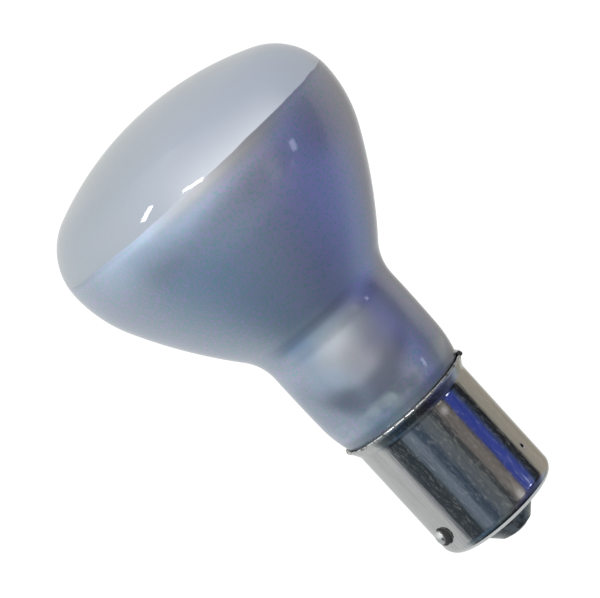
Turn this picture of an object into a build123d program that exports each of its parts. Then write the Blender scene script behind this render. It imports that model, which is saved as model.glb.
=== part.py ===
from build123d import *
from math import asin, cos, radians, sin, sqrt, degrees
import os

# A reflector lamp: a mushroom-shaped glass bulb with a frosted face and a silvered bowl,
# cemented into a single-contact bayonet cap. All sizes are in millimetres.
# +Z is the lamp's axis, from the end contact towards the frosted face. The origin is the
# middle of the contact's flat tip, and the two bayonet pins point along X.

# Cap shell: a thin drawn cup, its open rim flared round the glass
SHELL_RADIUS = 7.6
SHELL_WALL = 0.25
SHELL_HEIGHT = 16.65
SHELL_CORNER = 1.55
SHELL_OPENING = 4.25
FLARE_HEIGHT = 1.3
FLARE_REACH = 0.76
FLARE_ROOT_RADIUS = 1.1
RIM_EDGE_SHARE = 0.45

# The small pit in the shell's side, over the weld of the side lead
PIT_ANGLE = -63.0
PIT_ABOVE_PIN = 1.65
PIT_RADIUS = 0.25
PIT_DEPTH = 0.1
PIT_LENGTH = 0.45

# Bayonet pins: stepped studs riveted through the shell
PIN_RADIUS = 1.0
PIN_SHANK_RADIUS = 0.75
PIN_PROUD = 0.95
PIN_DOME = 0.55
PIN_HEIGHT = 3.25
PIN_HEAD_RADIUS = 1.3
PIN_HEAD_THICKNESS = 0.3

# Black glass insulator fused into the shell's end
CONTACT_DROP = 2.65
CONE_TIP_RADIUS = 2.1
INSULATOR_FILL = 1.75
HUB_RADIUS = 2.4
HUB_HEIGHT = 0.45
HUB_BEVEL = 0.5

# End contact: a small plate in the insulator's tip, under a cushion of solder
PLATE_RADIUS = 1.65
PLATE_THICKNESS = 0.3
SOLDER_RADIUS = 1.8
SOLDER_HEIGHT = 0.38
SOLDER_FLAT = 0.85

# Lead wires
WIRE_RADIUS = 0.25
WIRE_CLEARANCE = 0.08
WIRE_SPREAD = 2.9
WIRE_BEND = 0.9
WIRE_ROOM = 3.2
WELD_LENGTH = 1.5

# Glass bulb, from the cap up to the face
RIM_GAP = 0.14
RIM_LEAN = 18.5
FOOT_RADIUS = 14.0
FOOT_LEAN = 1.5
NECK_BARREL_RADIUS = 190.0
NECK_LENGTH = 11.5
THROAT_RADIUS = 5.95
BOWL_SLOPE = 39.0
BELLY_SLOPE = 26.3
BELLY_RADIUS = 15.8
BULB_RADIUS = 18.62
SHOULDER_RADIUS = 7.55
FACE_RADIUS = 35.8

# The glass inside the cap, down to the pumping stub
TUCK_RADIUS = 2.5
TUCK_LEAN = 42.0
CEMENT_GAP = 0.75
TAIL_EDGE = 1.6
STUB_RADIUS = 1.5
STUB_TIP_RADIUS = 0.55
STUB_LENGTH = 2.8

# Cement between the glass and the shell
CEMENT_DEPTH = 0.8

# Heights and radii that follow
shell_inner = SHELL_RADIUS - SHELL_WALL
shell_base_z = CONTACT_DROP
rim_z = shell_base_z + SHELL_HEIGHT
rim_radius = SHELL_RADIUS + FLARE_REACH
pin_z = shell_base_z + PIN_HEIGHT
pin_reach = SHELL_RADIUS + PIN_PROUD
pit_z = pin_z + PIT_ABOVE_PIN
insulator_top_z = shell_base_z + INSULATOR_FILL + HUB_HEIGHT
stub_z = insulator_top_z + WIRE_ROOM
seal_z = stub_z + STUB_LENGTH
tail_radius = shell_inner - CEMENT_GAP


def arc(start, heading, radius, turn):
    """A circular arc in the (radius, height) plane. heading and turn are in degrees,
    and heading 0 points up the axis. A positive turn bends towards the axis."""
    tangent = (-sin(radians(heading)), cos(radians(heading)))
    return JernArc(start=start, tangent=tangent, radius=radius, arc_size=turn)


def revolved(edges):
    """Turns a closed outline in the (radius, height) plane about the lamp's axis."""
    face = make_face(edges)
    return revolve(Plane.XZ * face, axis=Axis.Z)


def ring(inner, outer, low, high):
    """A plain ring about the lamp's axis."""
    blank = Cylinder(outer, high - low) - Cylinder(inner, high - low)
    return Pos(0, 0, (low + high) / 2) * blank


def seated(blank, *carriers):
    """What is left of a blank once the pieces it is fitted against are cut out of it."""
    for carrier in carriers:
        blank = blank - carrier
    return max(blank.solids(), key=lambda piece: piece.volume)


def wire(points, bend):
    """A round wire along straight runs joined by bends."""
    path = FilletPolyline(*points, radius=bend)
    start = Plane(origin=path @ 0, z_dir=path % 0)
    return sweep(start * Circle(WIRE_RADIUS), path=path)


def shell_cup():
    """The drawn shell: turned-in end, round corner, straight wall and flared mouth."""
    outer = FilletPolyline(
        (SHELL_OPENING, shell_base_z),
        (SHELL_RADIUS, shell_base_z),
        (SHELL_RADIUS, rim_z - FLARE_HEIGHT),
        (rim_radius, rim_z),
        radius=[SHELL_CORNER, FLARE_ROOT_RADIUS],
    )
    section = make_face(offset(outer, SHELL_WALL, side=Side.LEFT, closed=True).edges())
    rim_corners = section.vertices().sort_by(Axis.Y)[-2:]
    section = fillet(rim_corners, RIM_EDGE_SHARE * SHELL_WALL)
    return revolve(Plane.XZ * section, axis=Axis.Z)


def pit():
    """The pit's cutter: a short upright capsule that dips into the shell's side."""
    centre = SHELL_RADIUS + PIT_RADIUS - PIT_DEPTH
    body = Cylinder(PIT_RADIUS, PIT_LENGTH)
    for end in (-1, 1):
        body += Pos(0, 0, end * PIT_LENGTH / 2) * Sphere(PIT_RADIUS)
    return Rot(0, 0, PIT_ANGLE) * Pos(centre, 0, pit_z) * body


def stud(radius, low, high):
    """A round rod pointing along +X at the pins' height, from low to high."""
    rod = Cylinder(radius, high - low, align=(Align.CENTER, Align.CENTER, Align.MIN))
    return Pos(low, 0, pin_z) * Rot(0, 90, 0) * rod


def core(radius):
    """A plain cylinder on the lamp's axis, round the pins' height."""
    return Pos(0, 0, pin_z) * Cylinder(radius, 4 * PIN_HEAD_RADIUS)


def domed_stud(low):
    """The pin's outer end before it is seated: a round rod from low to a domed tip."""
    shoulder = pin_reach - PIN_DOME
    dome_radius = (PIN_RADIUS**2 + PIN_DOME**2) / (2 * PIN_DOME)
    dome_half = degrees(asin(PIN_RADIUS / dome_radius))
    outline = [
        Polyline((pin_reach, 0), (low, 0), (low, PIN_RADIUS), (shoulder, PIN_RADIUS)),
        CenterArc((pin_reach - dome_radius, 0), dome_radius, 0, dome_half),
    ]
    section = make_face([edge for line in outline for edge in line.edges()])
    return Pos(0, 0, pin_z) * revolve(section, axis=Axis.X)


def bayonet_pin():
    """The pin on +X: domed boss seated on the shell, shank and riveted head."""
    boss = seated(domed_stud(shell_inner / 2), core(SHELL_RADIUS))
    head_start = shell_inner - PIN_HEAD_THICKNESS
    shank = stud(PIN_SHANK_RADIUS, head_start, pin_reach - PIN_DOME)
    head = stud(PIN_HEAD_RADIUS, head_start, SHELL_RADIUS) & core(shell_inner)
    return boss + shank + head


def insulator_blank():
    """The insulator before it is cut: fill inside the shell, hub and outer cone."""
    tip_z = SOLDER_HEIGHT
    wall_middle = SHELL_RADIUS - SHELL_WALL / 2
    fill_z = shell_base_z + INSULATOR_FILL
    bore = WIRE_RADIUS + WIRE_CLEARANCE
    outline = Polyline(
        (bore, tip_z),
        (CONE_TIP_RADIUS, tip_z),
        (SHELL_OPENING, shell_base_z),
        (SHELL_OPENING, shell_base_z + SHELL_WALL / 2),
        (wall_middle, shell_base_z + SHELL_WALL / 2),
        (wall_middle, fill_z),
        (HUB_RADIUS + HUB_BEVEL, fill_z),
        (HUB_RADIUS, insulator_top_z),
        (bore, insulator_top_z),
        close=True,
    )
    return revolved(outline.edges())


def contact_plate():
    """The contact's plate, let into the insulator's tip."""
    bore = WIRE_RADIUS + WIRE_CLEARANCE
    return ring(bore, PLATE_RADIUS, SOLDER_HEIGHT, SOLDER_HEIGHT + PLATE_THICKNESS)


def contact_solder():
    """The solder cushion: flat where it is pressed by the holder, rounded to its edge."""
    edge = arc((SOLDER_FLAT, 0), -90, solder_edge_radius(), solder_edge_turn())
    outline = [
        Line((0, 0), (SOLDER_FLAT, 0)),
        edge,
        Line((SOLDER_RADIUS, SOLDER_HEIGHT), (0, SOLDER_HEIGHT)),
        Line((0, SOLDER_HEIGHT), (0, 0)),
    ]
    return revolved(outline)


def solder_edge_radius():
    """The radius that leaves the flat tangentially and ends at the solder's edge."""
    width = SOLDER_RADIUS - SOLDER_FLAT
    return (width**2 + SOLDER_HEIGHT**2) / (2 * SOLDER_HEIGHT)


def solder_edge_turn():
    """The angle that the solder's rounded edge turns through."""
    return degrees(asin((SOLDER_RADIUS - SOLDER_FLAT) / solder_edge_radius()))


def centre_lead():
    """The lead to the end contact, round the stub and down through the insulator."""
    points = [
        (-WIRE_SPREAD, 0, seal_z),
        (-WIRE_SPREAD, 0, stub_z + STUB_TIP_RADIUS),
        (0, 0, insulator_top_z + WIRE_ROOM / 2),
        (0, 0, SOLDER_HEIGHT),
    ]
    return wire(points, WIRE_BEND)


def side_lead():
    """The lead to the shell, welded to the wall behind the pit."""
    wall = shell_inner - WIRE_RADIUS
    points = [
        (WIRE_SPREAD, 0, seal_z),
        (WIRE_SPREAD, 0, (seal_z + pit_z + WELD_LENGTH) / 2),
        (wall, 0, pit_z + WELD_LENGTH / 2),
        (wall, 0, pit_z - WELD_LENGTH / 2),
    ]
    return Rot(0, 0, PIT_ANGLE) * wire(points, WIRE_BEND / 2)


def glass_bulb():
    """The bulb's outer form, turned from tangent arcs, with its tail inside the cap."""
    rim_inner = rim_radius - SHELL_WALL / cos(asin(FLARE_REACH / flare_length()))
    rim_point = (rim_inner - RIM_GAP, rim_z)
    outline = below_rim(rim_point) + above_rim(rim_point)
    top = outline[-1] @ 1
    low = outline[0] @ 0
    outline.append(Line((0, top.Y), (0, low.Y)))
    return revolved(outline)


def flare_length():
    """The flare's length along its slope."""
    return sqrt(FLARE_REACH**2 + FLARE_HEIGHT**2)


def below_rim(rim_point):
    """The tail: stub, seal, straight side and the tuck up to the rim, from low to high."""
    tuck_fall = TUCK_RADIUS * (cos(radians(RIM_LEAN)) - cos(radians(TUCK_LEAN)))
    tuck_drop = TUCK_RADIUS * (sin(radians(TUCK_LEAN)) - sin(radians(RIM_LEAN)))
    waist = (rim_point[0] - tuck_fall, rim_point[1] - tuck_drop)
    hip_radius = (waist[0] - tail_radius) / (1 - cos(radians(TUCK_LEAN)))
    hip_z = waist[1] - hip_radius * sin(radians(TUCK_LEAN))
    tip = arc((0, stub_z), -90, STUB_TIP_RADIUS, 60)
    stub_side = Line(tip @ 1, (STUB_RADIUS, seal_z))
    seal = Line((STUB_RADIUS, seal_z), (tail_radius - TAIL_EDGE, seal_z))
    edge = arc(seal @ 1, -90, TAIL_EDGE, 90)
    side = Line(edge @ 1, (tail_radius, hip_z))
    hip = arc(side @ 1, 0, hip_radius, -TUCK_LEAN)
    tuck = arc(hip @ 1, -TUCK_LEAN, TUCK_RADIUS, TUCK_LEAN - RIM_LEAN)
    return [tip, stub_side, seal, edge, side, hip, tuck]


def above_rim(rim_point):
    """The part that shows: foot, neck, throat, bowl, shoulder and face, upwards."""
    foot = arc(rim_point, -RIM_LEAN, FOOT_RADIUS, RIM_LEAN - FOOT_LEAN)
    barrel_rise = NECK_LENGTH - ((foot @ 1).Y - rim_z)
    neck_lean = degrees(asin(barrel_rise / NECK_BARREL_RADIUS - sin(radians(FOOT_LEAN))))
    neck = arc(foot @ 1, -FOOT_LEAN, NECK_BARREL_RADIUS, FOOT_LEAN + neck_lean)
    throat = arc(neck @ 1, neck_lean, THROAT_RADIUS, -neck_lean - BOWL_SLOPE)
    belly_start = BULB_RADIUS - BELLY_RADIUS * (1 - cos(radians(BELLY_SLOPE)))
    flank_gain = cos(radians(BELLY_SLOPE)) - cos(radians(BOWL_SLOPE))
    flank_radius = (belly_start - (throat @ 1).X) / flank_gain
    flank = arc(throat @ 1, -BOWL_SLOPE, flank_radius, BOWL_SLOPE - BELLY_SLOPE)
    belly = arc(flank @ 1, -BELLY_SLOPE, BELLY_RADIUS, BELLY_SLOPE)
    face_half = asin((BULB_RADIUS - SHOULDER_RADIUS) / (FACE_RADIUS - SHOULDER_RADIUS))
    shoulder_turn = 90 - degrees(face_half)
    shoulder = arc(belly @ 1, 0, SHOULDER_RADIUS, shoulder_turn)
    face = arc(shoulder @ 1, shoulder_turn, FACE_RADIUS, degrees(face_half))
    return [foot, neck, throat, flank, belly, shoulder, face]


def cement_blank():
    """The cement's ring, before the glass and the shell are cut out of it."""
    low = seal_z + TAIL_EDGE
    high = rim_z - FLARE_HEIGHT - CEMENT_DEPTH
    return ring(tail_radius - TAIL_EDGE, SHELL_RADIUS - SHELL_WALL / 2, low, high)


def build_lamp():
    """Every piece of the lamp, by name."""
    right_pin = bayonet_pin()
    left_pin = Rot(0, 0, 180) * right_pin
    shell = seated(shell_cup(), right_pin, left_pin, pit())
    plate = contact_plate()
    insulator = seated(insulator_blank(), shell, right_pin, left_pin, plate)
    glass = glass_bulb()
    return {
        "glass_bulb": glass,
        "basing_cement": seated(cement_blank(), shell, glass),
        "cap_shell": shell,
        "bayonet_pin_left": left_pin,
        "bayonet_pin_right": right_pin,
        "cap_insulator": insulator,
        "contact_plate": plate,
        "contact_solder": contact_solder(),
        "centre_lead_wire": centre_lead(),
        "side_lead_wire": side_lead(),
    }


os.makedirs("parts", exist_ok=True)
for name, piece in build_lamp().items():
    export_step(piece, "parts/" + name + ".step")
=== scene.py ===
import math

import bpy
from mathutils import Matrix, Vector, noise


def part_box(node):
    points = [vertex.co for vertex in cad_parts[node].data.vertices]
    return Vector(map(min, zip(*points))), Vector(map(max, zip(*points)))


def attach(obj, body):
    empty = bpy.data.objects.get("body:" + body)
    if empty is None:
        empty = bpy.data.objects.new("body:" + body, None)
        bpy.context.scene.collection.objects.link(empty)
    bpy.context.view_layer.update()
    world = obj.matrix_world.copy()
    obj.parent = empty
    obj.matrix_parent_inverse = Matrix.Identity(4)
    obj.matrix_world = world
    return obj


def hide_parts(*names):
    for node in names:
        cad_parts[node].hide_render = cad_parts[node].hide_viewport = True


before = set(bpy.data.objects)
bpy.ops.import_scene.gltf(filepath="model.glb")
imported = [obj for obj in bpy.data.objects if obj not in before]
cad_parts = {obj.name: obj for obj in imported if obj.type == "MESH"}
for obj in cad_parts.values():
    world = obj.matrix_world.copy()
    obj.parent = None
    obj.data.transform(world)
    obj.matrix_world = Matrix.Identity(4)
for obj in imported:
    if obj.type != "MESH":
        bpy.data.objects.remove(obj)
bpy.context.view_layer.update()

# The lamp stands on its axis, +Z from the end contact to the frosted face, as in the frame.
# Lengths are in metres, worked out from the frame's boxes and from the sizes below.
MM = 0.001

# The bulb's outline, from its tail in the cap up to the face. Slopes and leans are in degrees
# from the axis.
RIM_Z = 19.3 * MM
TAIL_RADIUS = 6.6 * MM
TAIL_DEPTH = 5.0 * MM
HIP_DEPTH = 3.4 * MM
FLARE_HEIGHT = 1.3 * MM
FLARE_REACH = 0.76 * MM
SHELL_WALL = 0.25 * MM
RIM_GAP = 0.14 * MM
RIM_LEAN = 18.5
FOOT_RADIUS = 14.0 * MM
FOOT_LEAN = 1.5
NECK_BARREL_RADIUS = 190.0 * MM
NECK_LENGTH = 11.5 * MM
NECK_RADIUS = 9.2 * MM
THROAT_RADIUS = 5.95 * MM
BOWL_SLOPE = 39.0
BELLY_SLOPE = 26.3
BELLY_RADIUS = 15.8 * MM
SHOULDER_RADIUS = 7.55 * MM
FACE_RADIUS = 35.8 * MM
SILVER_EDGE_Z = 53.66 * MM
BULB_SIDES = 224

# The pins
PIN_RADIUS = 1.0 * MM
PIN_SHANK_RADIUS = 0.75 * MM
PIN_HEAD_RADIUS = 1.3 * MM
PIN_HEAD_SAG = 0.12 * MM
PIN_EDGE = 0.25 * MM
PIN_CROWN = 1.45 * MM
PIN_SIDES = 72

# The rolled lip: where its middle lies from the rim's edge, and how thick and uneven it is
LIP_INSET = 0.07 * MM
LIP_RISE = 0.03 * MM
LIP_THICKNESS = 0.155 * MM
LIP_SWELL = 0.045 * MM
LIP_LUMPS = 9
LIP_SIDES = 320
LIP_FACETS = 14

# The bead of burnt flux on the lip
FLUX_BEARING = 78.0
FLUX_INSET = 0.05 * MM
FLUX_RISE = 0.10 * MM
FLUX_SIZE = 0.40 * MM
FLUX_LUMPS = 1.3
FLUX_FULLNESS = 0.92
FLUX_SWELL = 0.22
FLUX_FLATNESS = 0.85
FLUX_STAIN = (0.85 * MM, 0.50 * MM)
FLUX_SIDES = 48
FLUX_STEPS = 24

# The pit in the shell over the side lead's weld: its angle from the pins' axis, its height
# and how its darkening fades out
PIT_ANGLE = -63.0
PIT_Z = 7.55 * MM
PIT_DARKENING = (0.34 * MM, 0.24 * MM)

# Painted shade and dark reflection on and round the pins: where it fades out on the shell,
# where it sets in on the pin, and how far above the pin's middle the lit place lies
PIN_SEAT_SHADE = (1.22 * MM, 1.04 * MM)
PIN_SHADE = (0.74 * MM, 1.02 * MM)
PIN_SHINE_RISE = 0.34 * MM

# The camera: where the photograph was taken from, and how it was turned
CAMERA_AZIMUTH = -120.0
CAMERA_ELEVATION = 6.825
CAMERA_ROLL = 42.509
CAMERA_DISTANCE = 310.33 * MM
CAMERA_AIM_Z = 32.65 * MM
CAMERA_SLIDE = (-0.711 * MM, 2.874 * MM)
CAMERA_REACH = (0.01, 20)
FOCAL_PIXELS = 2821.16
PHOTO_WIDTH = 600
SENSOR_WIDTH = 36.0

# The studio
ROOM_Z = 30 * MM
ROOM_DISTANCE = 1.4
CARD_DISTANCE = 1.1
LAMP_AIM_Z = 50 * MM
LAMP_DISTANCE = 0.6
LAMP_RADIANCE = 20
DAYLIGHT = 0.86
FLOOR_Z = -30 * MM
FLOOR_REACH = 3.0
FLOOR_GLOW = 0.3

# What the frame says
shell_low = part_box("cap_shell")[0]
glass_low, glass_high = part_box("glass_bulb")
pin_low, pin_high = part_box("bayonet_pin_right")
insulator_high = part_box("cap_insulator")[1]
BULB_RADIUS = min(-glass_low.x, glass_high.x, -glass_low.y, glass_high.y)
SHELL_BASE_Z = shell_low.z
SHELL_RADIUS = insulator_high.y + SHELL_WALL
RIM_RADIUS = SHELL_RADIUS + FLARE_REACH
PIN_Z = (pin_low.z + pin_high.z) / 2


def bearing(angle):
    """The row frame's angle, in radians, of a direction given in degrees to the right of
    the camera's own direction as seen from the lamp."""
    return math.radians(CAMERA_AZIMUTH + angle)


def direction(angle, elevation):
    """The unit vector of a direction given by its bearing and elevation in degrees."""
    flat = math.cos(math.radians(elevation))
    turn = bearing(angle)
    return Vector((flat * math.cos(turn), flat * math.sin(turn), math.sin(math.radians(elevation))))


# Outlines in the (radius, height) plane
def arc(start, heading, radius, turn, steps):
    """Points of an arc after its start. Heading 0 points up, and a positive turn bends
    towards the axis, in degrees."""
    bend = math.copysign(1.0, turn)
    first = math.radians(heading)
    centre = (start[0] - bend * radius * math.cos(first), start[1] - bend * radius * math.sin(first))
    points = []
    for step in range(1, steps + 1):
        angle = first + math.radians(turn) * step / steps
        r = centre[0] + bend * radius * math.cos(angle)
        z = centre[1] + bend * radius * math.sin(angle)
        points.append((max(r, 0.0), z))
    return points


def straight(start, end, steps):
    """Points of a straight run after its start."""
    share = [step / steps for step in range(1, steps + 1)]
    return [(start[0] + (end[0] - start[0]) * s, start[1] + (end[1] - start[1]) * s) for s in share]


def tail_outline():
    """The glass inside the cap: a short straight tail that widens to the rim."""
    slant = math.hypot(FLARE_REACH, FLARE_HEIGHT)
    rim_inner = RIM_RADIUS - SHELL_WALL / (FLARE_HEIGHT / slant)
    points = [(0.0, RIM_Z - TAIL_DEPTH), (TAIL_RADIUS, RIM_Z - TAIL_DEPTH)]
    points += straight(points[-1], (TAIL_RADIUS, RIM_Z - HIP_DEPTH), 4)
    return points + straight(points[-1], (rim_inner - RIM_GAP, RIM_Z), 10)


def bulb_outline():
    """The glass from its tail up to the middle of the face, as tangent arcs."""
    points = tail_outline()
    points += arc(points[-1], -RIM_LEAN, FOOT_RADIUS, RIM_LEAN - FOOT_LEAN, 16)
    rise = NECK_LENGTH - (points[-1][1] - RIM_Z)
    lean = math.degrees(math.asin(rise / NECK_BARREL_RADIUS - math.sin(math.radians(FOOT_LEAN))))
    points += arc(points[-1], -FOOT_LEAN, NECK_BARREL_RADIUS, FOOT_LEAN + lean, 24)
    points += arc(points[-1], lean, THROAT_RADIUS, -lean - BOWL_SLOPE, 20)
    belly_start = BULB_RADIUS - BELLY_RADIUS * (1 - math.cos(math.radians(BELLY_SLOPE)))
    gain = math.cos(math.radians(BELLY_SLOPE)) - math.cos(math.radians(BOWL_SLOPE))
    flank_radius = (belly_start - points[-1][0]) / gain
    points += arc(points[-1], -BOWL_SLOPE, flank_radius, BOWL_SLOPE - BELLY_SLOPE, 36)
    points += arc(points[-1], -BELLY_SLOPE, BELLY_RADIUS, BELLY_SLOPE, 28)
    half = math.degrees(math.asin((BULB_RADIUS - SHOULDER_RADIUS) / (FACE_RADIUS - SHOULDER_RADIUS)))
    points += arc(points[-1], 0, SHOULDER_RADIUS, 90 - half, 36)
    points += arc(points[-1], 90 - half, FACE_RADIUS, half, 30)
    spare = points[-1][1] - glass_high.z
    return [(r, z - spare if z > SILVER_EDGE_Z else z) for r, z in points]


def pin_outline():
    """A pin along its own axis: riveted head, shank, boss and crown, from its inner end."""
    half = math.degrees(math.asin((PIN_RADIUS - PIN_EDGE) / (PIN_CROWN - PIN_EDGE)))
    crown = arc((PIN_RADIUS, 0.0), 0, PIN_EDGE, 90 - half, 10)
    crown += arc(crown[-1], 90 - half, PIN_CROWN, half, 12)
    shoulder = pin_high.x - crown[-1][1]
    inner = SHELL_RADIUS - SHELL_WALL
    middle = SHELL_RADIUS - SHELL_WALL / 2
    points = [(0.0, pin_low.x), (PIN_HEAD_RADIUS, pin_low.x), (PIN_HEAD_RADIUS, inner - PIN_HEAD_SAG)]
    points += [(PIN_SHANK_RADIUS, inner - PIN_HEAD_SAG), (PIN_SHANK_RADIUS, middle)]
    points += [(PIN_RADIUS, middle)]
    points += straight(points[-1], (PIN_RADIUS, shoulder), 4)
    return points + [(r, shoulder + h) for r, h in crown]


# Meshes
def add_mesh(name, verts, faces, smooth=True):
    """A mesh object in the scene."""
    mesh = bpy.data.meshes.new(name)
    mesh.from_pydata(verts, [], faces)
    if smooth:
        mesh.shade_smooth()
    mesh.update()
    piece = bpy.data.objects.new(name, mesh)
    bpy.context.scene.collection.objects.link(piece)
    return piece


def lathe(name, outline, sides):
    """A closed surface turned from an outline whose first and last points lie on the axis."""
    angles = [2 * math.pi * k / sides for k in range(sides)]
    rings = outline[1:-1]
    verts = [(0, 0, outline[0][1])]
    for r, z in rings:
        verts += [(r * math.cos(a), r * math.sin(a), z) for a in angles]
    verts.append((0, 0, outline[-1][1]))
    faces = [(0, 1 + (k + 1) % sides, 1 + k) for k in range(sides)]
    for ring in range(len(rings) - 1):
        low, high = 1 + ring * sides, 1 + (ring + 1) * sides
        for k in range(sides):
            n = (k + 1) % sides
            faces.append((low + k, low + n, high + n, high + k))
    top, last = 1 + (len(rings) - 1) * sides, len(verts) - 1
    faces += [(top + k, top + (k + 1) % sides, last) for k in range(sides)]
    return add_mesh(name, verts, faces)


def wear(piece, material):
    """Gives a piece one material."""
    piece.data.materials.clear()
    piece.data.materials.append(material)


# Material nodes
class Nodes:
    """A material's node tree, with short ways to add what the finishes need."""

    def __init__(self, name):
        self.material = bpy.data.materials.new(name)
        self.material.use_nodes = True
        self.tree = self.material.node_tree
        self.shader = self.tree.nodes["Principled BSDF"]
        coordinates = self.tree.nodes.new("ShaderNodeTexCoord")
        self.place = coordinates.outputs["Object"]

    def set(self, **values):
        """Writes constants on the shader's own sockets."""
        for name, value in values.items():
            self.shader.inputs[name.replace("_", " ")].default_value = value

    def link(self, source, socket):
        """Joins an output to one of the shader's sockets."""
        self.tree.links.new(source, self.shader.inputs[socket])

    def feed(self, socket, value):
        """Sets a socket to a number or links it to an output."""
        if value is None:
            return
        if isinstance(value, bpy.types.NodeSocket):
            self.tree.links.new(value, socket)
        else:
            socket.default_value = value

    def math(self, operation, first, second=None, third=None):
        """A math node on numbers or outputs."""
        node = self.tree.nodes.new("ShaderNodeMath")
        node.operation = operation
        for index, value in enumerate((first, second, third)):
            self.feed(node.inputs[index], value)
        return node.outputs[0]

    def vector_math(self, operation, first, second=None, output="Vector"):
        """A vector math node on an output and a constant."""
        node = self.tree.nodes.new("ShaderNodeVectorMath")
        node.operation = operation
        self.tree.links.new(first, node.inputs[0])
        if second is not None:
            node.inputs[1].default_value = tuple(second)
        return node.outputs[output]

    def noise(self, scale, detail=2.0, roughness=0.5, stretch=None):
        """Noise in the row frame, with scale in cycles per metre."""
        node = self.tree.nodes.new("ShaderNodeTexNoise")
        node.inputs["Scale"].default_value = scale
        node.inputs["Detail"].default_value = detail
        node.inputs["Roughness"].default_value = roughness
        place = self.place
        if stretch is not None:
            mapping = self.tree.nodes.new("ShaderNodeMapping")
            mapping.inputs["Scale"].default_value = stretch
            self.tree.links.new(self.place, mapping.inputs["Vector"])
            place = mapping.outputs["Vector"]
        self.tree.links.new(place, node.inputs["Vector"])
        return node.outputs["Fac"]

    def height(self):
        """The height along the lamp's axis."""
        node = self.tree.nodes.new("ShaderNodeSeparateXYZ")
        self.tree.links.new(self.place, node.inputs[0])
        return node.outputs["Z"]

    def spread(self, value, low, high, out_low=0.0, out_high=1.0, smooth=True):
        """Maps a value from one range to another, with soft or straight ends."""
        node = self.tree.nodes.new("ShaderNodeMapRange")
        node.interpolation_type = "SMOOTHSTEP" if smooth else "LINEAR"
        node.clamp = True
        for index, number in enumerate((value, low, high, out_low, out_high)):
            self.feed(node.inputs[index], number)
        return node.outputs[0]

    def band(self, z, low, high, soft):
        """1 between two heights in millimetres, fading out over a soft edge at each."""
        rise = self.spread(z, (low - soft) * MM, (low + soft) * MM)
        fall = self.spread(z, (high + soft) * MM, (high - soft) * MM)
        return self.math("MULTIPLY", rise, fall)

    def mix(self, share, first, second):
        """A colour between two colours."""
        node = self.tree.nodes.new("ShaderNodeMix")
        node.data_type = "RGBA"
        self.feed(node.inputs["Factor"], share)
        sockets = [s for s in node.inputs if s.type == "RGBA"]
        for socket, tint in zip(sockets, (first, second)):
            self.feed(socket, tint)
        return [s for s in node.outputs if s.type == "RGBA"][0]

    def bump(self, height, distance, strength=1.0, after=None):
        """A bump of a real height, in metres, on top of another if one is given."""
        node = self.tree.nodes.new("ShaderNodeBump")
        node.inputs["Strength"].default_value = strength
        node.inputs["Distance"].default_value = distance
        self.tree.links.new(height, node.inputs["Height"])
        if after is not None:
            self.tree.links.new(after, node.inputs["Normal"])
        return node.outputs["Normal"]

    def ramp(self, value, stops):
        """A colour from a row of (place, colour) stops."""
        node = self.tree.nodes.new("ShaderNodeValToRGB")
        elements = node.color_ramp.elements
        while len(elements) < len(stops):
            elements.new(0.5)
        for element, (place, tint) in zip(elements, stops):
            element.position = place
            element.color = tint
        self.tree.links.new(value, node.inputs["Fac"])
        return node.outputs["Color"]

    def distance(self, point):
        """The distance from a point of the row frame."""
        return self.vector_math("DISTANCE", self.place, point, "Value")

    def towards(self, angle):
        """How far a point lies towards a bearing: 1 on it, -1 opposite."""
        flat = self.vector_math("MULTIPLY", self.place, (1, 1, 0))
        unit = self.vector_math("NORMALIZE", flat)
        return self.vector_math("DOT_PRODUCT", unit, direction(angle, 0), "Value")


def colour(red, green, blue):
    """An opaque colour."""
    return (red, green, blue, 1.0)


def largest(n, *values):
    """The largest of several shares."""
    found = values[0]
    for value in values[1:]:
        found = n.math("MAXIMUM", found, value)
    return found


# The bulb's finish
# Heights at which a look sets in and is full: the face's lit side, the silver's violet side,
# which is partly a painted reflection of a blue light, and the neck's dark foot
FACE_LIT = (61.8 * MM, 57.5 * MM)
VIOLET_REFLECTION_RISE = (21.6 * MM, 23.6 * MM)
NECK_FOOT = (21.1 * MM, 20.2 * MM)

# At the silver's edge: its waviness and softness, the glow above it and the line below it
SILVER_EDGE_WAVE = 0.3 * MM
SILVER_EDGE_SOFT = 0.07 * MM
EDGE_GLOW = (SILVER_EDGE_Z + 3.6 * MM, SILVER_EDGE_Z - 0.2 * MM)
EDGE_LINE = (SILVER_EDGE_Z - 0.75 * MM, SILVER_EDGE_Z - 0.1 * MM)
# Painted shade of the gap under the lip, on partly dirty glass: where it sets in and is full
GAP_SHADE_HEIGHTS = (RIM_Z + 0.42 * MM, RIM_Z + 0.18 * MM)

# The neck's pale patch, partly painted highlight and partly an uneven coat, by bearing and
# height in millimetres: its cloud, as in the rows below, where the speckle is faintest, and
# the middle of the dark crescent of painted shade round it
PAINTED_HIGHLIGHT_CLOUD = (-16, 31.0, 4.7, 1.3, 0.46)
SPECKLE_MIDDLE = (-2, 29.3)
SPECKLE_FADE = (4.2 * MM, 7.2 * MM)
SHADE_CRESCENT_MIDDLE = (-8, 30.2)
SHADE_CRESCENT_INSIDE = (3.7 * MM, 5.7 * MM)
SHADE_CRESCENT_OUTSIDE = (9.0 * MM, 6.6 * MM)
SHADE_CRESCENT_FALL = (28.0 * MM, 24.8 * MM)
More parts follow.
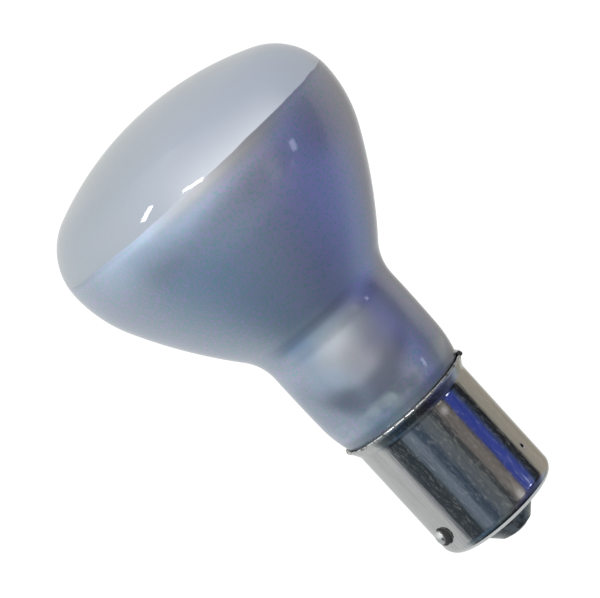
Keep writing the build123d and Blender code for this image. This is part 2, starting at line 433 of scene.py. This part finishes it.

# Painted highlights and shade on the neck, in part an uneven coat, where its silver is
# lighter or darker than round about: bearing, height, reach and core in millimetres, share
# and colour
NECK_LIGHT_AND_SHADE_CLOUDS = (
    (-10, 32.3, 3.9, 1.0, 0.34, (0.82, 0.92, 1.00)),
    (-33, 27.8, 3.0, 0.8, 0.34, (0.66, 0.80, 1.00)),
    (2, 27.0, 4.0, 1.1, 0.34, (0.32, 0.26, 0.16)),
    (31, 29.2, 5.2, 1.8, 0.40, (0.16, 0.17, 0.34)),
    (-56, 25.8, 5.0, 1.8, 0.32, (0.20, 0.25, 0.33)),
    (-2, 22.9, 3.4, 0.8, 0.50, (0.11, 0.13, 0.15)),
    (-34, 21.6, 2.2, 0.5, 0.36, (0.80, 0.88, 0.95)),
    (-3, 21.2, 1.6, 0.3, 0.42, (0.85, 0.95, 0.90)),
    (16, 21.4, 2.0, 0.4, 0.22, (0.10, 0.12, 0.12)),
    (45, 21.0, 3.0, 1.0, 0.52, (0.78, 0.88, 0.78)),
    (13, 30.8, 3.2, 0.8, 0.22, (0.58, 0.64, 0.42)),
    (-30, 31.9, 2.8, 0.6, 0.34, (0.48, 0.68, 1.00)),
    (24, 35.8, 4.4, 1.2, 0.34, (0.66, 0.76, 0.84)),
    (-28, 24.0, 2.6, 0.6, 0.24, (0.16, 0.19, 0.24)),
    (-14, 22.2, 1.6, 0.4, 0.42, (0.18, 0.20, 0.26)),
    (45, 28.4, 4.6, 1.2, 0.26, (0.80, 0.85, 1.00)),
)

# Painted highlights and shade that lie across the silver at one side of the lamp, in part
# an uneven coat: from and to in height and the softness of both ends in millimetres,
# bearing, the nearness to it where they begin and are full, share and colour.
# Two of them run on past the silver's edge.
PAST_EDGE = 90.0
SILVER_LIGHT_AND_SHADE_MARKS = (
    (31.6, 32.5, 0.4, -12, 0.70, 0.96, 0.30, (0.84, 0.93, 1.0)),
    (33.0, 34.2, 0.4, -10, 0.70, 0.96, 0.44, (0.17, 0.19, 0.28)),
    (50.0, PAST_EDGE, 2.0, -27, 0.82, 0.99, 0.42, (0.64, 0.80, 1.0)),
    (48.6, 51.4, 1.4, 13, 0.88, 1.00, 0.13, (0.12, 0.12, 0.10)),
    (52.35, PAST_EDGE, 0.95, 8, 0.80, 0.99, 0.95, (0.43, 0.445, 0.455)),
)


def mark(n, under, where, side, begin, full, share, tint):
    """Paints a soft mark at given heights, on the side of the lamp towards a bearing."""
    near = n.spread(n.towards(side), begin, full, 0.0, share)
    return n.mix(n.math("MULTIPLY", where, near), under, colour(*tint))


def on_neck(angle, height):
    """A point of the neck's surface, by its bearing and its height in millimetres."""
    return direction(angle, 0) * NECK_RADIUS + Vector((0, 0, height * MM))


def cloud(n, angle, height, reach, core, share):
    """A soft round cloud on the neck, as a share that is full inside its core."""
    return n.spread(n.distance(on_neck(angle, height)), reach * MM, core * MM, 0.0, share)


def frosted_colour(n, z):
    """The face: glass frosted on its inside, with light gathered by the bowl at one side."""
    patch = n.spread(n.noise(110, 3.0), 0.35, 0.65)
    frost = n.mix(patch, colour(0.330, 0.388, 0.432), colour(0.345, 0.388, 0.436))
    grain = n.spread(n.noise(3400, 1.0), 0.3, 0.7, 0.0, 0.16)
    frost = n.mix(grain, frost, colour(0.42, 0.40, 0.53))
    lower = n.spread(z, *FACE_LIT, 0.3, 1.0)
    frost = mark(n, frost, lower, 42, 0.1, 0.95, 1.0, (0.402, 0.448, 0.530))
    near = n.spread(z, *EDGE_GLOW, smooth=False)
    return mark(n, frost, n.math("POWER", near, 1.5), 15, 0.85, 1.0, 1.0, (0.60, 0.64, 0.71))


def bare_silver(n, z):
    """The silver coat as it lies everywhere: cool, violet on one side, partly as a painted
    reflection of a blue light, with a fine speckle that is faint in the pale patch on the neck."""
    patch = n.spread(n.noise(900, 3.0, 0.6), 0.40, 0.60)
    silver = n.mix(patch, colour(0.488, 0.560, 0.614), colour(0.506, 0.560, 0.638))
    above = n.spread(z, *VIOLET_REFLECTION_RISE, 0.15, 1.0)
    # Violet on one side: the coat's own tint, and partly a painted reflection of a blue light
    silver = mark(n, silver, above, 34, 0.50, 0.95, 1.0, (0.585, 0.625, 0.800))
    speck = n.noise(3300, 4.0, 0.72)
    grain = n.spread(n.distance(on_neck(*SPECKLE_MIDDLE)), *SPECKLE_FADE, 0.22, 0.80)
    teal = n.math("MULTIPLY", n.spread(speck, 0.51, 0.59), grain)
    silver = n.mix(teal, silver, colour(0.34, 0.60, 0.67))
    pink = n.math("MULTIPLY", n.spread(speck, 0.49, 0.41), grain)
    return n.mix(pink, silver, colour(0.65, 0.54, 0.89))


def neck_silver(n, z, silver):
    """The neck: a pale patch and clouds of painted highlight and shade over an uneven coat, and a dark
    crescent of painted shade.
    """
    # The pale patch: painted highlight, in part an uneven coat
    warmer = n.spread(n.towards(30), 0.35, 0.92)
    pale = n.mix(warmer, colour(0.76, 0.82, 0.88), colour(0.70, 0.645, 0.56))
    silver = n.mix(cloud(n, *PAINTED_HIGHLIGHT_CLOUD), silver, pale)
    # Clouds of painted highlight and shade
    for *shape, tint in NECK_LIGHT_AND_SHADE_CLOUDS:
        silver = n.mix(cloud(n, *shape), silver, colour(*tint))
    # A dark crescent of painted shade round the pale patch
    away = n.distance(on_neck(*SHADE_CRESCENT_MIDDLE))
    ring = n.math("MULTIPLY", n.spread(away, *SHADE_CRESCENT_INSIDE), n.spread(away, *SHADE_CRESCENT_OUTSIDE))
    crescent = n.math("MULTIPLY", ring, n.spread(z, *SHADE_CRESCENT_FALL, 0.0, 0.58))
    return n.mix(crescent, silver, colour(0.13, 0.15, 0.21))


def silver_ends(n, z, silver):
    """The coat's two ends: pale spots and a dark foot at the rim, and a line at the face."""
    spots = n.spread(n.noise(420, 2.0), 0.42, 0.62, 0.0, 0.6)
    spots = n.math("MULTIPLY", n.band(z, 21.2, 22.7, 0.5), spots)
    silver = n.mix(spots, silver, colour(0.72, 0.80, 0.82))
    foot = n.spread(z, *NECK_FOOT, 0.0, 0.42)
    silver = n.mix(foot, silver, colour(0.14, 0.17, 0.18))
    line = n.spread(z, *EDGE_LINE, 0.0, 0.24)
    return n.mix(line, silver, colour(0.20, 0.20, 0.30))


def silver_colour(n, z):
    """The silver coat inside the bowl and neck, seen through the glass, with painted highlights and
    shade.
    """
    silver = neck_silver(n, z, bare_silver(n, z))
    # Painted highlights and shade across the silver, in part an uneven coat
    for low, high, soft, side, begin, full, share, tint in SILVER_LIGHT_AND_SHADE_MARKS:
        silver = mark(n, silver, n.band(z, low, high, soft), side, begin, full, share, tint)
    return silver_ends(n, z, silver)


def bulb_finish():
    """The bulb: smooth glass outside, frosted face above the silver coat's edge."""
    n = Nodes("bulb_glass")
    z = n.height()
    wave = n.math("MULTIPLY_ADD", n.noise(240, 2.0), SILVER_EDGE_WAVE, -SILVER_EDGE_WAVE / 2)
    edge = n.math("ADD", z, wave)
    coated = n.spread(edge, SILVER_EDGE_Z + SILVER_EDGE_SOFT, SILVER_EDGE_Z - SILVER_EDGE_SOFT)
    # Painted shade of the gap between the glass and the lip, on partly dirty glass: a dark line just
    # above the rim, stronger on one side, with less metal
    gap_shade = n.spread(z, *GAP_SHADE_HEIGHTS)
    gap_shade = n.math("MULTIPLY", gap_shade, n.spread(n.towards(88), -0.35, 0.6, 0.35, 1.0))
    tint = n.mix(coated, frosted_colour(n, z), silver_colour(n, z))
    n.link(n.mix(gap_shade, tint, colour(0.012, 0.012, 0.016)), "Base Color")
    n.link(n.math("MULTIPLY", coated, n.math("SUBTRACT", 1.0, gap_shade)), "Metallic")
    n.link(n.spread(n.noise(900, 2.0), 0.3, 0.7, 0.49, 0.51), "Roughness")
    n.set(Specular_IOR_Level=0.1, Coat_Weight=1.0, Coat_Roughness=0.03, Coat_IOR=1.5)
    n.link(n.bump(n.noise(2600, 2.0, 0.6), 0.006 * MM, 0.6), "Normal")
    return n.material


# The cap's finishes
def flux_place():
    """Where the bead of flux sits on the lip."""
    side = direction(FLUX_BEARING, 0) * (RIM_RADIUS - FLUX_INSET)
    return side + Vector((0, 0, RIM_Z + FLUX_RISE))


def flux_spot(n):
    """The burnt place on the lip under the bead of flux."""
    return n.spread(n.distance(flux_place()), *FLUX_STAIN)


def shell_dirt_and_shade(n):
    """How dark the shell is: darkened in the pit, painted shade round the pins and the burnt place at the
    flux on its lip.
    """
    turn = math.radians(PIT_ANGLE)
    pit = (SHELL_RADIUS * math.cos(turn), SHELL_RADIUS * math.sin(turn), PIT_Z)
    spots = [n.spread(n.distance(pit), *PIT_DARKENING), flux_spot(n)]
    # Painted shade and dark reflection in a ring round each pin's seat
    for side in (-1, 1):
        seat = n.distance((side * SHELL_RADIUS, 0, PIN_Z))
        spots.append(n.spread(seat, *PIN_SEAT_SHADE))
    return largest(n, *spots)


def pin_painted_shade(n):
    """How much painted shade and dark reflection a pin has: round its flank, and over the side that faces
    the contact.
    """
    near = [n.distance((side * pin_high.x, 0, PIN_Z + PIN_SHINE_RISE)) for side in (-1, 1)]
    return n.spread(n.math("MINIMUM", *near), *PIN_SHADE, 0.0, 0.94)


def lip_dirt(n):
    """How dirty the lip is: in patches all round, and at the flux."""
    patches = n.spread(n.noise(1500, 3.0, 0.7), 0.50, 0.64, 0.0, 0.85)
    return n.math("MAXIMUM", patches, flux_spot(n))


# Where the shell's plate is painted darker at its front, as painted shade and dark reflection,
# in millimetres: its flare from and to in height with a soft edge, and its corner in two steps,
# each fading in above the base, with its share
FLARE_PAINTED_SHADE = (17.75, 19.1, 0.25)
CORNER_PAINTED_SHADE = ((1.50, 1.25, 0.70), (0.92, 0.74, 0.93))


def above_base(n, z, low, high, share):
    """A share that fades in between two heights over the shell's base in millimetres."""
    return n.spread(z, SHELL_BASE_Z + low * MM, SHELL_BASE_Z + high * MM, 0.0, share)


def shell_painted_shade(n, z):
    """How much painted shade and dark reflection lies on the front of the shell's flare and lower corner.
    """
    front = n.spread(n.towards(3), 0.65, 0.77)
    flare = n.math("MULTIPLY", n.band(z, *FLARE_PAINTED_SHADE), n.math("MULTIPLY", front, 0.80))
    corner = largest(n, *(above_base(n, z, *step) for step in CORNER_PAINTED_SHADE))
    return n.math("MAXIMUM", flare, n.math("MULTIPLY", corner, front))


# Painted highlights on the shell, as pale matt places, in millimetres: its base's edge, with
# its share, and two spots on its front by bearing, height and reach
BASE_EDGE_HIGHLIGHT = (0.62, 0.54, 0.80)
SHELL_HIGHLIGHT_SPOTS = ((20.5, 16.8, 0.80), (20.5, 4.3, 0.95))
HIGHLIGHT_SPOT_CORE = 0.1
HIGHLIGHT_SPOT_SHARE = 0.27


def shell_scratches_and_highlights(n, z):
    """Where the plate is pale and matt: fine scratches, and painted highlights along the base's edge and
    in two spots.
    """
    scratches = n.noise(2700, 5.0, 0.80, stretch=(1.0, 1.0, 0.40))
    matt_and_highlight_places = [n.spread(scratches, 0.49, 0.68, 0.0, 0.13)]
    # Painted highlights: a pale line along the base's edge and two pale spots on the front
    matt_and_highlight_places.append(above_base(n, z, *BASE_EDGE_HIGHLIGHT))
    for side, height, reach in SHELL_HIGHLIGHT_SPOTS:
        spot = direction(side, 0) * SHELL_RADIUS + Vector((0, 0, height * MM))
        matt_and_highlight_places.append(n.spread(n.distance(spot), reach * MM, HIGHLIGHT_SPOT_CORE * MM, 0.0, HIGHLIGHT_SPOT_SHARE))
    return largest(n, *matt_and_highlight_places)


def nickel(name, dirt_and_shade_of, worn_and_painted_light=False):
    """Bright nickel on drawn brass, with the fine lengthwise lines of drawing."""
    n = Nodes(name)
    z = n.height()
    smear = n.noise(420, 3.0, 0.6, stretch=(1.0, 1.0, 0.2))
    fine = n.noise(5200, 2.0, 0.6, stretch=(1.0, 1.0, 0.035))
    lines = n.noise(1300, 3.0, 0.65, stretch=(1.0, 1.0, 0.10))
    plate = n.mix(n.spread(smear, 0.35, 0.65), colour(0.60, 0.60, 0.59), colour(0.66, 0.655, 0.64))
    plate = n.mix(n.spread(fine, 0.48, 0.66, 0.0, 0.30), plate, colour(0.36, 0.37, 0.39))
    plate = n.mix(n.spread(lines, 0.52, 0.70, 0.0, 0.25), plate, colour(0.86, 0.87, 0.90))
    scratches_and_highlights = 0.0
    # The shell: painted shade and dark reflection on the front of its flare and corner, and pale matt
    # places of fine scratches and painted highlights
    if worn_and_painted_light:
        scratches_and_highlights = shell_scratches_and_highlights(n, z)
        plate = n.mix(shell_painted_shade(n, z), plate, colour(0.055, 0.060, 0.065))
        plate = n.mix(n.math("MULTIPLY", scratches_and_highlights, 1.2), plate, colour(0.65, 0.67, 0.68))
    # Darker where dirty, and where shade and dark reflection are painted on and round the pins
    dirt_and_shade = dirt_and_shade_of(n)
    n.link(n.mix(dirt_and_shade, plate, colour(0.012, 0.012, 0.015)), "Base Color")
    n.link(n.math("SUBTRACT", 1.0, n.math("MAXIMUM", dirt_and_shade, scratches_and_highlights)), "Metallic")
    n.link(n.math("MULTIPLY_ADD", dirt_and_shade, -0.45, 0.5), "Specular IOR Level")
    gloss = n.math("MULTIPLY_ADD", scratches_and_highlights, 0.5, n.spread(smear, 0.3, 0.7, 0.04, 0.09))
    n.link(n.math("MULTIPLY_ADD", dirt_and_shade, 0.45, gloss), "Roughness")
    n.link(drawn_shape(n, z, lines, fine), "Normal")
    return n.material


def drawn_shape(n, z, lines, fine):
    """The shape that drawing leaves in the plate: a slight step low down, long waves and
    lengthwise lines."""
    wave = n.noise(170, 2.0, 0.5, stretch=(1.0, 1.0, 0.5))
    shape = n.bump(n.spread(z, 4.0 * MM, 6.0 * MM), 0.012 * MM)
    shape = n.bump(wave, 0.06 * MM, 0.7, shape)
    shape = n.bump(lines, 0.034 * MM, 0.7, shape)
    return n.bump(fine, 0.007 * MM, 0.7, shape)


def burnt_flux():
    """Black brittle flux left from soldering."""
    n = Nodes("burnt_flux")
    grain = n.noise(2600, 3.0)
    n.link(n.mix(grain, colour(0.010, 0.010, 0.012), colour(0.035, 0.032, 0.035)), "Base Color")
    n.set(Roughness=0.42)
    n.link(n.bump(n.noise(3800, 3.0), 0.04 * MM), "Normal")
    return n.material


def black_glass():
    """The insulator's black glass, pressed while hot, so a little uneven."""
    n = Nodes("black_glass")
    mottle = n.spread(n.noise(900, 3.0, 0.6), 0.42, 0.60)
    n.link(n.mix(mottle, colour(0.006, 0.011, 0.016), colour(0.050, 0.070, 0.090)), "Base Color")
    n.set(IOR=1.55, Coat_Weight=0.5, Coat_Roughness=0.12)
    n.link(n.spread(n.noise(1200, 3.0), 0.3, 0.7, 0.22, 0.42), "Roughness")
    flow = n.bump(n.noise(500, 3.0), 0.10 * MM, 0.6)
    n.link(n.bump(n.noise(2400, 2.0), 0.02 * MM, 0.6, flow), "Normal")
    return n.material


def solder():
    """The end contact's tin and lead solder."""
    n = Nodes("solder")
    grain = n.noise(1200, 3.0, 0.6)
    n.link(n.mix(grain, colour(0.38, 0.39, 0.40), colour(0.62, 0.63, 0.64)), "Base Color")
    n.set(Metallic=0.9)
    n.link(n.spread(grain, 0.3, 0.7, 0.32, 0.5), "Roughness")
    n.link(n.bump(grain, 0.03 * MM, 0.6), "Normal")
    return n.material


def cement():
    """The dull cement inside the cap."""
    n = Nodes("cement")
    n.link(n.mix(n.noise(1500, 4.0), colour(0.50, 0.43, 0.33), colour(0.68, 0.61, 0.50)), "Base Color")
    n.set(Roughness=0.9)
    n.link(n.bump(n.noise(2600, 3.0), 0.05 * MM), "Normal")
    return n.material


def plain_metal(name, dark, light, roughness):
    """A drawn or turned metal that only shows when the lamp is taken apart."""
    n = Nodes(name)
    n.link(n.mix(n.noise(1800, 3.0), dark, light), "Base Color")
    n.set(Metallic=1.0, Roughness=roughness)
    n.link(n.bump(n.noise(4000, 2.0), 0.005 * MM, 0.5), "Normal")
    return n.material


# The lamp's pieces
def make_bulb():
    """The glass, turned in one piece."""
    piece = lathe("bulb_glass", bulb_outline(), BULB_SIDES)
    wear(piece, bulb_finish())
    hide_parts("glass_bulb")
    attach(piece, "root")


def make_pin(name, node, turn, finish):
    """A bayonet pin, turned along its own axis and laid along X."""
    piece = lathe(name, pin_outline(), PIN_SIDES)
    laid = Matrix.Rotation(math.radians(turn), 4, "Y")
    piece.data.transform(Matrix.Translation((0, 0, PIN_Z)) @ laid)
    wear(piece, finish)
    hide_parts(node)
    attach(piece, "root")


def lip_points():
    """The lip's surface, ring by ring round the axis, a little uneven as it comes off the
    tool."""
    middle_r, middle_z = RIM_RADIUS - LIP_INSET, RIM_Z + LIP_RISE
    points = []
    for k in range(LIP_SIDES):
        angle = 2 * math.pi * k / LIP_SIDES
        lump = noise.noise(Vector((math.cos(angle), math.sin(angle), 0)) * LIP_LUMPS)
        thick = LIP_THICKNESS + LIP_SWELL * lump
        for j in range(LIP_FACETS):
            turn = 2 * math.pi * j / LIP_FACETS
            r = middle_r + thick * math.cos(turn)
            points.append((r * math.cos(angle), r * math.sin(angle), middle_z + thick * math.sin(turn)))
    return points


def make_lip_bead():
    """The shell's rolled lip, a thin bead on its rim."""
    faces = []
    for k in range(LIP_SIDES):
        here, ahead = k * LIP_FACETS, (k + 1) % LIP_SIDES * LIP_FACETS
        for j in range(LIP_FACETS):
            n = (j + 1) % LIP_FACETS
            faces.append((here + j, ahead + j, ahead + n, here + n))
    bead = add_mesh("lip_bead", lip_points(), faces)
    wear(bead, nickel("lip_nickel", lip_dirt))
    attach(bead, "root")


def make_flux_bead():
    """A lumpy bead of flux on the lip, where the lamp was soldered."""
    rise = [math.radians(-90 + 180 * k / FLUX_STEPS) for k in range(1, FLUX_STEPS)]
    outline = [(0.0, -FLUX_SIZE)]
    outline += [(FLUX_SIZE * math.cos(a), FLUX_SIZE * math.sin(a)) for a in rise]
    outline.append((0.0, FLUX_SIZE))
    bead = lathe("flux_bead", outline, FLUX_SIDES)
    for vertex in bead.data.vertices:
        lump = noise.noise(vertex.co / FLUX_SIZE * FLUX_LUMPS)
        vertex.co *= FLUX_FULLNESS + FLUX_SWELL * lump
        vertex.co.z *= FLUX_FLATNESS
    bead.data.transform(Matrix.Translation(flux_place()))
    wear(bead, burnt_flux())
    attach(bead, "root")


def dress_nodes():
    """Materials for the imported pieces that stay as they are."""
    finishes = {
        "cap_shell": nickel("nickel_plate", shell_dirt_and_shade, worn_and_painted_light=True),
        "cap_insulator": black_glass(),
        "contact_solder": solder(),
        "basing_cement": cement(),
        "contact_plate": plain_metal("brass", colour(0.55, 0.40, 0.17), colour(0.70, 0.54, 0.27), 0.3),
    }
    wire = plain_metal("lead_wire", colour(0.48, 0.47, 0.45), colour(0.62, 0.60, 0.57), 0.35)
    finishes["centre_lead_wire"] = wire
    finishes["side_lead_wire"] = wire
    for node, finish in finishes.items():
        wear(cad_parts[node], finish)


# The studio
def make_camera():
    """The camera of the photograph."""
    back = direction(0, CAMERA_ELEVATION)
    right = Vector((-math.sin(bearing(0)), math.cos(bearing(0)), 0))
    up = back.cross(right)
    data = bpy.data.cameras.new("camera")
    data.sensor_width = SENSOR_WIDTH
    data.lens = FOCAL_PIXELS * SENSOR_WIDTH / PHOTO_WIDTH
    data.clip_start, data.clip_end = CAMERA_REACH
    camera = bpy.data.objects.new("camera", data)
    bpy.context.scene.collection.objects.link(camera)
    turn = math.radians(CAMERA_ROLL)
    image_right = math.cos(turn) * right - math.sin(turn) * up
    image_up = math.sin(turn) * right + math.cos(turn) * up
    turned = Matrix((image_right, image_up, back)).transposed()
    aim = Vector((0, 0, CAMERA_AIM_Z))
    place = aim + CAMERA_DISTANCE * back + CAMERA_SLIDE[0] * right + CAMERA_SLIDE[1] * up
    camera.matrix_world = Matrix.Translation(place) @ turned.to_4x4()
    bpy.context.scene.camera = camera


def strip_lamp(name, start, end, width, tint):
    """A long thin lamp between two directions as seen from the bulb's face, with its width
    in degrees."""
    eye = Vector((0, 0, LAMP_AIM_Z))
    first = eye + LAMP_DISTANCE * direction(*start)
    second = eye + LAMP_DISTANCE * direction(*end)
    middle = (first + second) / 2
    along = (second - first).normalized()
    back = (middle - eye).normalized()
    back = (back - back.dot(along) * along).normalized()
    data = bpy.data.lights.new(name, "AREA")
    data.shape = "RECTANGLE"
    data.size = (second - first).length
    data.size_y = LAMP_DISTANCE * math.radians(width)
    data.energy = LAMP_RADIANCE * math.pi * data.size * data.size_y
    data.color = tint
    lamp = bpy.data.objects.new(name, data)
    bpy.context.scene.collection.objects.link(lamp)
    turned = Matrix((along, back.cross(along), back)).transposed()
    lamp.matrix_world = Matrix.Translation(middle) @ turned.to_4x4()
    lamp.visible_camera = False


def glow_shader(n, tint, strength):
    """An emission shader, with its tint and strength as numbers or outputs."""
    light = n.tree.nodes.new("ShaderNodeEmission")
    n.feed(light.inputs["Color"], tint)
    n.feed(light.inputs["Strength"], strength)
    return light.outputs[0]


def soft_card_material(name, tint, strength, soft):
    """A glowing card that fades to nothing at its edges."""
    n = Nodes(name)
    tree = n.tree
    parts = tree.nodes.new("ShaderNodeSeparateXYZ")
    tree.links.new(tree.nodes.new("ShaderNodeUVMap").outputs["UV"], parts.inputs[0])
    fades = [n.spread(n.math("PINGPONG", parts.outputs[k], 0.5), 0.0, soft) for k in (0, 1)]
    mixer = tree.nodes.new("ShaderNodeMixShader")
    tree.links.new(n.math("MULTIPLY", *fades), mixer.inputs["Fac"])
    tree.links.new(tree.nodes.new("ShaderNodeBsdfTransparent").outputs[0], mixer.inputs[1])
    tree.links.new(glow_shader(n, tint, strength), mixer.inputs[2])
    tree.links.new(mixer.outputs[0], tree.nodes["Material Output"].inputs["Surface"])
    return n.material


def curved_sheet(name, bearings, elevations, distance, across, upward):
    """Part of a sphere round the lamp, turned so that its own +X is the camera's side."""
    verts, faces, places = [], [], []
    for row in range(upward + 1):
        elevation = math.radians(elevations[0] + (elevations[1] - elevations[0]) * row / upward)
        flat = distance * math.cos(elevation)
        for column in range(across + 1):
            angle = math.radians(bearings[0] + (bearings[1] - bearings[0]) * column / across)
            verts.append((flat * math.cos(angle), flat * math.sin(angle), distance * math.sin(elevation)))
            places.append((column / across, row / upward))
    step = across + 1
    for row in range(upward):
        for column in range(across):
            corner = row * step + column
            faces.append((corner, corner + step, corner + step + 1, corner + 1))
    piece = add_mesh(name, verts, faces, smooth=False)
    layer = piece.data.uv_layers.new(name="sheet")
    for loop in piece.data.loops:
        layer.data[loop.index].uv = places[loop.vertex_index]
    piece.location = (0, 0, ROOM_Z)
    piece.rotation_euler = (0, 0, bearing(0))
    return piece


def hang(piece):
    """Makes a sheet part of the studio, shown only by polished and glossy surfaces."""
    piece.visible_camera = False
    piece.visible_diffuse = False
    piece.visible_shadow = False
    piece.visible_transmission = False


def make_card(name, bearings, elevations, tint, strength, soft=0.3):
    """A small soft-edged card."""
    piece = curved_sheet(name, bearings, elevations, CARD_DISTANCE, 16, 8)
    wear(piece, soft_card_material(name, colour(*tint), strength, soft))
    hang(piece)


# Elevations in degrees: between them the room's low row gives way to the level one, and
# that to the high one, and the room grows brighter from its dim bottom
LOW_BLEND = (-38, -24)
HIGH_BLEND = (-8.5, 14)
BOTTOM_BLEND = (-70, -44)
BOTTOM_SHARE = 0.32

# What stands round the lamp, as (bearing, red, green, blue), at three heights
ROOM_HIGH = (
    (-180, 0.72, 0.72, 0.70), (-140, 0.74, 0.77, 0.73), (-100, 0.95, 1.00, 1.00),
    (-60, 1.25, 1.30, 1.35), (-30, 1.52, 1.52, 1.48), (0, 1.42, 1.38, 1.35),
    (20, 1.15, 1.10, 1.07), (40, 0.82, 0.80, 0.77), (60, 0.55, 0.56, 0.55),
    (85, 0.33, 0.34, 0.40), (110, 0.33, 0.36, 0.38), (145, 0.52, 0.52, 0.50),
    (180, 0.72, 0.72, 0.70),
)
ROOM_LEVEL = (
    (-180, 0.82, 0.82, 0.82), (-160, 0.66, 0.67, 0.68), (-92, 0.62, 0.63, 0.64),
    (-86, 0.58, 0.60, 0.62), (-79, 0.30, 0.32, 0.34), (-73, 0.065, 0.080, 0.095),
    (-50, 0.045, 0.058, 0.068), (-44, 0.10, 0.13, 0.16), (-38, 0.175, 0.22, 0.28),
    (-26, 0.185, 0.23, 0.295), (-20, 0.075, 0.105, 0.155), (-8, 0.065, 0.09, 0.13),
    (-3, 0.13, 0.155, 0.185), (17, 0.15, 0.17, 0.18), (21, 0.07, 0.078, 0.085),
    (28, 0.07, 0.075, 0.08), (32, 0.22, 0.20, 0.19), (48, 0.20, 0.18, 0.165),
    (53, 0.09, 0.09, 0.12), (57, 0.05, 0.075, 0.36), (73, 0.05, 0.075, 0.37),
    (79, 0.06, 0.09, 0.22), (85, 0.025, 0.03, 0.035), (98, 0.02, 0.022, 0.028),
    (104, 0.38, 0.36, 0.31), (122, 0.43, 0.39, 0.335), (148, 0.37, 0.335, 0.27),
    (164, 0.60, 0.60, 0.58), (180, 0.82, 0.82, 0.82),
)
ROOM_LOW = (
    (-180, 0.75, 0.77, 0.75), (-120, 0.60, 0.63, 0.62), (-85, 0.30, 0.42, 0.50),
    (-60, 0.24, 0.38, 0.60), (-20, 0.34, 0.46, 0.52), (0, 0.38, 0.45, 0.46),
    (20, 0.30, 0.33, 0.36), (40, 0.24, 0.25, 0.35), (60, 0.20, 0.21, 0.47),
    (100, 0.20, 0.24, 0.46), (120, 0.40, 0.46, 0.62), (145, 0.28, 0.32, 0.28),
    (180, 0.75, 0.77, 0.75),
)


def room_material():
    """The room's glow by bearing, blended between its three heights."""
    n = Nodes("room")
    tree = n.tree
    parts = tree.nodes.new("ShaderNodeSeparateXYZ")
    tree.links.new(n.vector_math("NORMALIZE", n.place), parts.inputs[0])
    x, y, z = (parts.outputs[axis] for axis in "XYZ")
    turn = n.spread(n.math("ARCTAN2", y, x), -math.pi, math.pi, smooth=False)
    tilt = n.math("ARCSINE", z)
    rows = []
    for room in (ROOM_LOW, ROOM_LEVEL, ROOM_HIGH):
        rows.append(n.ramp(turn, [((stop[0] + 180) / 360, colour(*stop[1:])) for stop in room]))
    low = n.mix(n.spread(tilt, *map(math.radians, LOW_BLEND)), rows[0], rows[1])
    glow = n.mix(n.spread(tilt, *map(math.radians, HIGH_BLEND)), low, rows[2])
    strength = n.spread(tilt, *map(math.radians, BOTTOM_BLEND), BOTTOM_SHARE, 1.0)
    tree.links.new(glow_shader(n, glow, strength), tree.nodes["Material Output"].inputs["Surface"])
    return n.material


def make_room():
    """The surround that glass and metal show: dark in front, pale behind, a soft sky."""
    room = curved_sheet("room", (-180, 180), (-90, 90), ROOM_DISTANCE, 96, 48)
    wear(room, room_material())
    hang(room)
    make_card("blue_light", (63, 70.5), (-24.5, -14.5), (0.72, 0.80, 1.0), 4.0)
    make_card("blue_light_low", (58, 63), (-32, -26), (0.60, 0.66, 1.0), 1.2)
    make_card("beige_light", (37, 50), (-34, -13.5), (1.0, 0.93, 0.86), 0.75, 0.2)


def in_sight(tree):
    """1 where the camera looks, also through glass and in metal, and 0 for light on the
    lamp."""
    path = tree.nodes.new("ShaderNodeLightPath")
    seen = path.outputs["Is Camera Ray"]
    for ray in ("Is Glossy Ray", "Is Transmission Ray"):
        either = tree.nodes.new("ShaderNodeMath")
        either.operation = "MAXIMUM"
        tree.links.new(seen, either.inputs[0])
        tree.links.new(path.outputs[ray], either.inputs[1])
        seen = either.outputs[0]
    return seen


def make_world():
    """White to the eye, to glass and to metal, and an even light on everything else."""
    world = bpy.data.worlds.new("studio")
    bpy.context.scene.world = world
    world.use_nodes = True
    tree = world.node_tree
    background = tree.nodes["Background"]
    strength = tree.nodes.new("ShaderNodeMapRange")
    strength.inputs["To Min"].default_value = DAYLIGHT
    strength.inputs["To Max"].default_value = 1.0
    tree.links.new(in_sight(tree), strength.inputs["Value"])
    background.inputs["Color"].default_value = colour(1, 1, 1)
    tree.links.new(strength.outputs[0], background.inputs["Strength"])


def make_floor():
    """A plain pale floor under the held lamp. It keeps the lamp's shadow."""
    corners = ((-1, -1), (1, -1), (1, 1), (-1, 1))
    verts = [(x * FLOOR_REACH, y * FLOOR_REACH, FLOOR_Z) for x, y in corners]
    floor = add_mesh("floor", verts, [(0, 1, 2, 3)], smooth=False)
    n = Nodes("floor")
    n.set(Base_Color=colour(0.9, 0.9, 0.9), Roughness=1.0, Specular_IOR_Level=0.0)
    n.set(Emission_Color=colour(1, 1, 1))
    n.link(n.math("MULTIPLY", in_sight(n.tree), FLOOR_GLOW), "Emission Strength")
    wear(floor, n.material)
    floor.visible_glossy = False


bpy.context.scene.view_settings.view_transform = "Standard"
make_camera()
make_world()
make_floor()
make_room()
strip_lamp("lamp_left", (-50, 24), (-40, 35), 5.0, (1.0, 0.98, 0.97))
strip_lamp("lamp_front", (-14, 21), (2, 14.4), 4.4, (1.0, 0.99, 0.97))
make_bulb()
pin_finish = nickel("pin_nickel", pin_painted_shade)
make_pin("pin_left", "bayonet_pin_left", -90, pin_finish)
make_pin("pin_right", "bayonet_pin_right", 90, pin_finish)
make_lip_bead()
make_flux_bead()
dress_nodes()
